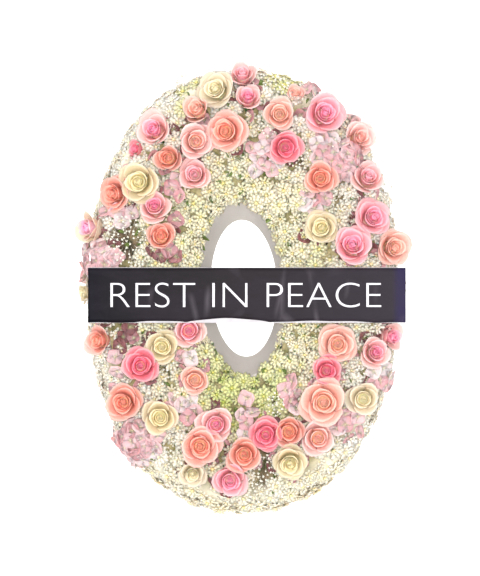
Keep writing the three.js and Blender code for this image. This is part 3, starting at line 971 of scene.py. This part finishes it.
# florets in the darker patches take dark tints: painted shade
shadedFlorets = [s for s in patchSpots if inPatch(s[0], shadedPatches)]
pale = [s for s in patchSpots if not inPatch(s[0], shadedPatches)]
copies = floretCopies(pale, *floretLooks["pale"]) + floretCopies(shadedFlorets, *floretLooks["shadedFlorets"])
addPiece("hydrangea_patches", gather("patches", copies), [hydrangeaMaterial], "hydrangea")
taken = [point for point, normal in mumSpots + patchSpots]
fillerSpots = spaced(fillerSpots, hydrangeaShape["fillerSpacing"], taken)
# the filler florets in the gaps beside the blooms take dark tints: painted shadow
copies = floretCopies(fillerSpots, *floretLooks["filler"])
addPiece("hydrangea_filler", gather("filler", copies), [hydrangeaMaterial], "hydrangea")
print("hydrangea florets", len(patchSpots), len(fillerSpots))


# gypsophila: sprays of tiny florets on thin stalks

gypsophilaShape = {
    "radius": (0.0027, 0.0038), "spacing": 0.0082, "petals": 6, "templates": 4,
    "lift": (0.005, 0.017),      # above the bed's face
    "cover": 0.004,              # no floret where a bloom hides the bed by more than this
    "stalk": 0.00045, "rootDepth": 0.012, "rootShare": 0.7, "tries": 12,
}
gypsophilaSprays = [      # as the hydrangea patches, then the number of florets
    (-0.128, 0.406, 0.020, 0.026, 30), (0.046, 0.305, 0.017, 0.015, 18), (0.107, 0.248, 0.023, 0.019, 34),
    (0.185, 0.266, 0.018, 0.015, 20), (0.259, 0.270, 0.014, 0.020, 16), (0.274, 0.183, 0.015, 0.022, 18),
    (0.185, 0.172, 0.018, 0.020, 26), (-0.221, 0.096, 0.037, 0.049, 80),
    (-0.270, -0.151, 0.013, 0.016, 14), (-0.145, -0.149, 0.017, 0.018, 24),
    (-0.132, -0.304, 0.018, 0.019, 26), (0.040, -0.349, 0.031, 0.040, 62),
    (0.062, -0.217, 0.016, 0.023, 30), (0.211, -0.158, 0.024, 0.017, 32),
    (0.062, 0.392, 0.027, 0.017, 38), (0.309, 0.011, 0.004, 0.012, 6),
]


def makeSpeck(seed):      # a tiny double floret, radius 1
    rng = random.Random(200 + seed)
    bm = bmesh.new()
    for i in range(gypsophilaShape["petals"]):
        petal = bmesh.ops.create_uvsphere(bm, u_segments=4, v_segments=2, radius=1)
        turn = i * 2.4 + rng.uniform(-0.2, 0.2)
        lean = rng.uniform(0.25, 1.2)
        shape = Matrix.Rotation(turn, 4, "Z") @ Matrix.Rotation(lean, 4, "Y")
        shape = shape @ Matrix.Translation((0, 0, 0.55)) @ Matrix.Diagonal((0.24, 0.42, 0.5, 1))
        bmesh.ops.transform(bm, matrix=shape, verts=petal["verts"])
    return meshFrom(bm, "speckTemplate")


def makeStalk():      # radius 1 and height 1
    bm = bmesh.new()
    bmesh.ops.create_cone(bm, segments=3, cap_ends=True, radius1=1, radius2=0.7, depth=1)
    bmesh.ops.translate(bm, vec=(0, 0, 0.5), verts=bm.verts)
    for face in bm.faces:
        face.material_index = 1
    return meshFrom(bm, "stalkTemplate")


def stalkPlace(start, end, radius):
    return frameOn(start, end - start, 0, (radius, radius, (end - start).length))


specks = [makeSpeck(seed) for seed in range(gypsophilaShape["templates"])]
stalk = makeStalk()
rng = random.Random(7)
copies = []
for x, z, wide, tall, count in gypsophilaSprays:
    middle = Vector((centre.x + x, 0, centre.z + z))
    inwards = 1.0
    while onBed(centre.x + x * inwards, centre.z + z * inwards)[0] is None:      # to where the bed begins
        inwards -= 0.02
    surface, normal = onBed(centre.x + x * inwards, centre.z + z * inwards)
    root = surface + Vector((0, gypsophilaShape["rootDepth"], 0))
    heads = []
    for attempt in range(count * gypsophilaShape["tries"]):
        angle, share = rng.uniform(0, 2 * math.pi), math.sqrt(rng.random())
        if len(heads) >= count:
            break
        px = middle.x + wide * share * math.cos(angle)
        pz = middle.z + tall * share * math.sin(angle)
        hit = seenFrom(bloomTree, px, pz)[0]
        point = onBed(px, pz)[0]
        if hit is not None and (point is None or hit.y < point.y - gypsophilaShape["cover"]):
            continue
        ground = point.y if point is not None else surface.y - rng.uniform(0.0, 0.03)
        head = Vector((px, ground - rng.uniform(*gypsophilaShape["lift"]), pz))
        if all((head - other).length > gypsophilaShape["spacing"] for other in heads):
            heads.append(head)
    for head in heads:
        foot = root
        if onBed(head.x, head.z)[0] is not None:
            foot = root.lerp(Vector((head.x, root.y, head.z)), gypsophilaShape["rootShare"])
        size = rng.uniform(*gypsophilaShape["radius"])
        axis = Vector((rng.uniform(-0.6, 0.6), -1, rng.uniform(-0.4, 0.8))).normalized()
        speck = specks[rng.randrange(len(specks))]
        copies.append((speck, standing(rng, head, axis, size)))
        bend = Vector((rng.uniform(-0.004, 0.004), 0.003, rng.uniform(-0.004, 0.004)))
        joint = foot.lerp(head, 0.6) + bend      # each stalk is in two parts
        copies.append((stalk, stalkPlace(foot, joint, gypsophilaShape["stalk"])))
        copies.append((stalk, stalkPlace(joint, head, gypsophilaShape["stalk"])))
addPiece("gypsophila", gather("gypsophila", copies), [gypsophilaMaterial, stalkMaterial], "chrysanthemum")
print("gypsophila", len(copies))


# foam body, back panel, loop, picks, floral foam

for name, pieceName, material, slot in (
    ("foam_body", "foamRing", foamMaterial, "foam"),
    ("back_panel", "backBoard", panelMaterial, "panel"),
    ("floral_foam_left", "floralFoamLeft", floralFoamMaterial, "floral_foam"),
    ("floral_foam_right", "floralFoamRight", floralFoamMaterial, "floral_foam"),
    ("banner_pick_left", "pickLeft", bambooMaterial, "bamboo"),
    ("banner_pick_right", "pickRight", bambooMaterial, "bamboo"),
    ("hanging_loop", "wireLoop", wireMaterial, "wire"),
):
    addPiece(pieceName, meshFrom(cadCopy(name), pieceName), [material], slot, name)
print("foam and fittings dressed")


# banner

bannerLook = {
    "boardBevel": 0.0012,
    "columns": 150, "rows": 16, "thickness": 0.0005, "ripple": 0.0012,
    "lips": [(0.15, 0.31, 0.0032), (0.31, 0.57, 0.0080), (0.57, 0.90, 0.0030)],      # from, to and rise
    "hem": 0.955, "hemThickness": 0.0005,      # where the hem begins, as a share of the width
    "words": "REST IN PEACE", "wordsWidth": 0.511, "capHeight": 0.047, "wordsAcross": -0.002,
    "wordsLift": 0.0003, "wordsDepth": 0.0003, "wordsThinner": -0.02,
}
boardLow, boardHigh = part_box("banner_board")
sheetLow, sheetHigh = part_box("banner_sheet")

bm = bmesh.new()
bmesh.ops.create_cube(bm, size=1)
boardPlace = Matrix.Translation((boardLow + boardHigh) / 2) @ Matrix.Diagonal((*(boardHigh - boardLow), 1))
bmesh.ops.transform(bm, matrix=boardPlace, verts=bm.verts)
bmesh.ops.bevel(bm, geom=bm.edges[:], offset=bannerLook["boardBevel"],
                affect="EDGES", segments=2, profile=0.5, material=-1)
addPiece("bannerBoard", meshFrom(bm, "bannerBoard"), [boardMaterial], "board", "banner_board")


def filmLip(across):      # how far the film's lower edge stands above the board's, at a share of the width
    rise = 0.0008 + 0.0004 * math.sin(across * 47)
    for start, end, height in bannerLook["lips"]:
        if start < across < end:
            rise += height * math.sin(math.pi * (across - start) / (end - start)) ** 0.7
    return rise


bm = bmesh.new()
columns, rows = bannerLook["columns"], bannerLook["rows"]
grid = bmesh.ops.create_grid(bm, x_segments=columns, y_segments=rows, size=0.5)
for vert in grid["verts"]:
    across, up = vert.co.x + 0.5, vert.co.y + 0.5
    x = mix(sheetLow.x, sheetHigh.x, across)
    z = mix(boardLow.z + filmLip(across), sheetHigh.z, up)
    swell = noise.noise(Vector((x * 14, z * 30, 2.0))) * 0.5 + 0.5
    inside = clamp(min(across, 1 - across) * 30) * clamp(min(up, 1 - up) * 6)      # flat at the edges
    proud = bannerLook["ripple"] * swell * inside
    if across > bannerLook["hem"]:
        proud += bannerLook["hemThickness"]
    vert.co = Vector((x, sheetHigh.y - bannerLook["thickness"] - proud, z))
bmesh.ops.recalc_face_normals(bm, faces=bm.faces)
if bm.faces[0].normal.y > 0:
    bmesh.ops.reverse_faces(bm, faces=bm.faces)
bmesh.ops.solidify(bm, geom=bm.faces[:], thickness=bannerLook["thickness"])
addPiece("bannerFilm", meshFrom(bm, "bannerFilm"), [filmPaint()], "sheet", "banner_sheet")

textCurve = bpy.data.curves.new("bannerWords", "FONT")
textCurve.body = bannerLook["words"]
textCurve.align_x = "CENTER"
textCurve.extrude = 0.5
textCurve.offset = bannerLook["wordsThinner"]
textObject = newObject("bannerWords", textCurve)
bpy.context.view_layer.update()
mesh = bpy.data.meshes.new_from_object(textObject)
bpy.data.objects.remove(textObject)
xs = [vertex.co.x for vertex in mesh.vertices]
ys = [vertex.co.y for vertex in mesh.vertices]
middle = Vector(((min(xs) + max(xs)) / 2, (min(ys) + max(ys)) / 2, 0))
wide = bannerLook["wordsWidth"] / (max(xs) - min(xs))
tall = bannerLook["capHeight"] / (max(ys) - min(ys))
stretch = Matrix.Diagonal((wide, tall, bannerLook["wordsDepth"], 1))
across = (sheetLow.x + sheetHigh.x) / 2 + bannerLook["wordsAcross"]
front = sheetHigh.y - bannerLook["thickness"] - bannerLook["ripple"] - bannerLook["wordsLift"]
wordsPlace = Matrix.Translation((across, front, (boardLow.z + boardHigh.z) / 2))
upright = Matrix.Rotation(math.radians(90), 4, "X")
mesh.transform(wordsPlace @ upright @ stretch @ Matrix.Translation(-middle))
addPiece("bannerWords", mesh, [letterMaterial], "board")
print("banner made")


# stage and light

stage = {"floor": -2.6, "backdrop": 6.5, "width": 30.0, "height": 12.0, "sweep": 0.8, "world": 0.31}
lightAims = {"wreath": (0, -0.1, -0.35), "backdrop": (0, 6.5, -0.3)}
floorPaint = plainPaint("paleFloor", (250, 250, 250), (246, 246, 246), 3, 0.0001, 0.9)
bm = bmesh.new()
bmesh.ops.create_grid(bm, x_segments=1, y_segments=1, size=stage["width"])
bmesh.ops.translate(bm, vec=(0, stage["backdrop"] - stage["width"], stage["floor"]), verts=bm.verts)
rear = [edge for edge in bm.edges if all(vert.co.y > 0 for vert in edge.verts)]
wall = bmesh.ops.extrude_edge_only(bm, edges=rear)
risen = [item for item in wall["geom"] if isinstance(item, bmesh.types.BMVert)]
bmesh.ops.translate(bm, vec=(0, 0, stage["height"]), verts=risen)
bmesh.ops.bevel(bm, geom=rear, offset=stage["sweep"], affect="EDGES", segments=10, profile=0.5, material=-1)
floorMesh = meshFrom(bm, "floor")
floorMesh.materials.append(floorPaint)
floor = newObject("floor", floorMesh)

world = bpy.data.worlds.new("world")
world.use_nodes = True
world.node_tree.nodes["Background"].inputs["Color"].default_value = (1, 1, 1, 1)
world.node_tree.nodes["Background"].inputs["Strength"].default_value = stage["world"]
bpy.context.scene.world = world
bpy.context.scene.view_settings.view_transform = "Standard"

lights = {      # place, aim, size and power
    "keyLight": ((-1.5, -3.4, 0.0), "wreath", 1.6, 42),
    "fillLight": ((1.4, -3.5, -0.45), "wreath", 1.6, 32),
    "frontLight": ((0.0, -4.5, -0.3), "wreath", 0.9, 156),
    "topLight": ((0.0, -0.5, 2.0), "wreath", 2.0, 32),
    "leftLight": ((-2.5, -0.4, -0.3), "wreath", 1.8, 20),
    "rightLight": ((2.5, -0.4, -0.3), "wreath", 1.8, 20),
    "backdropLight": ((0, 3.0, 2.2), "backdrop", 3.0, 430),
}
for name, (place, aim, lightSize, power) in lights.items():
    lamp = bpy.data.lights.new(name, "AREA")
    lamp.energy = power
    lamp.size = lightSize
    holder = newObject(name, lamp)
    holder.location = place
    holder.visible_camera = False
    direction = Vector(lightAims[aim]) - Vector(place)
    holder.rotation_euler = direction.to_track_quat("-Z", "Y").to_euler()
print("stage and lights made")

bpy.context.view_layer.update()
meshes = [piece.data for piece in bpy.data.objects if piece.type == "MESH"]
print("triangles", sum(len(face.vertices) - 2 for mesh in meshes for face in mesh.polygons))
